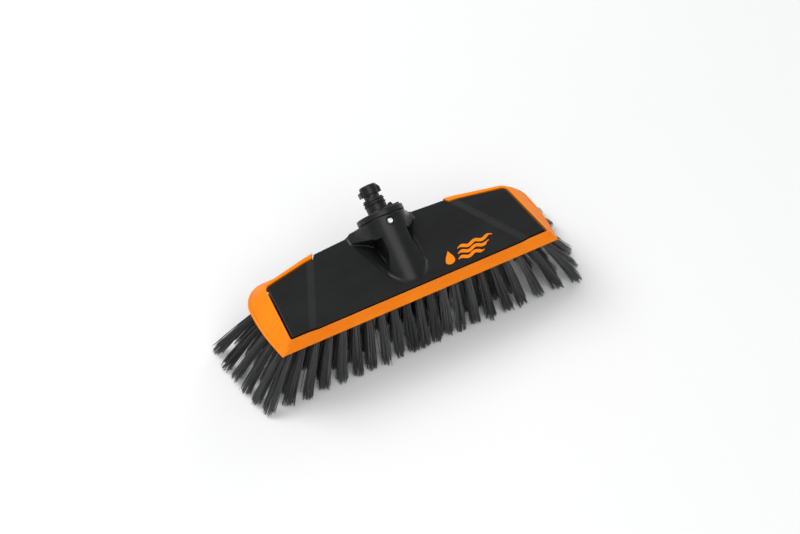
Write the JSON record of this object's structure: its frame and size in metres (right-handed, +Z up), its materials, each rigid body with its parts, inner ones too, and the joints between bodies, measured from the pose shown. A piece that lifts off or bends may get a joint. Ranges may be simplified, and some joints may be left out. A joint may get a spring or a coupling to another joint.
{
  "type": "wash brush",
  "caption": "Wide flow-through wash brush: splayed bristle tufts in a block, black shell with a raked neck, soft orange bumper and a bayonet coupling for a pressure-washer lance.",
  "frame": {"origin": "on the ground plane touched by the bristle tips, under the middle of the brush's bounding box", "axes": "+Z up from the bristle tips, +X along the brush's long side, +Y towards the back, where the coupling leaves"},
  "size_m": [0.3374, 0.1138, 0.1148],
  "materials": {
    "shell_plastic": "satin moulded black polypropylene with a fine grain",
    "bumper_rubber": "smooth satin orange thermoplastic rubber",
    "block_plastic": "matt black moulded plastic",
    "coupling_plastic": "satin glass-filled black nylon",
    "seal_rubber": "black nitrile rubber",
    "bristle": "dark grey polyester filaments",
    "screw_steel": "bright zinc-plated steel",
    "anchor_wire": "flat nickel-silver wire"
  },
  "bodies": {
    "root": {"upper_shell": "shell_plastic", "bumper": "bumper_rubber", "brush_block": "block_plastic", "block_gasket": "seal_rubber", "coupling_nipple": "coupling_plastic", "nipple_o_ring": "seal_rubber", "socket_o_ring": "seal_rubber", "retaining_screw": "screw_steel", "block_screws": "screw_steel", "tufts_front_row": "bristle", "tufts_second_row": "bristle", "tufts_third_row": "bristle", "tufts_fourth_row": "bristle", "tufts_fifth_row": "bristle", "tufts_rear_row": "bristle", "anchors_front_row": "anchor_wire", "anchors_second_row": "anchor_wire", "anchors_third_row": "anchor_wire", "anchors_fourth_row": "anchor_wire", "anchors_fifth_row": "anchor_wire", "anchors_rear_row": "anchor_wire"}
  },
  "joints": []
}
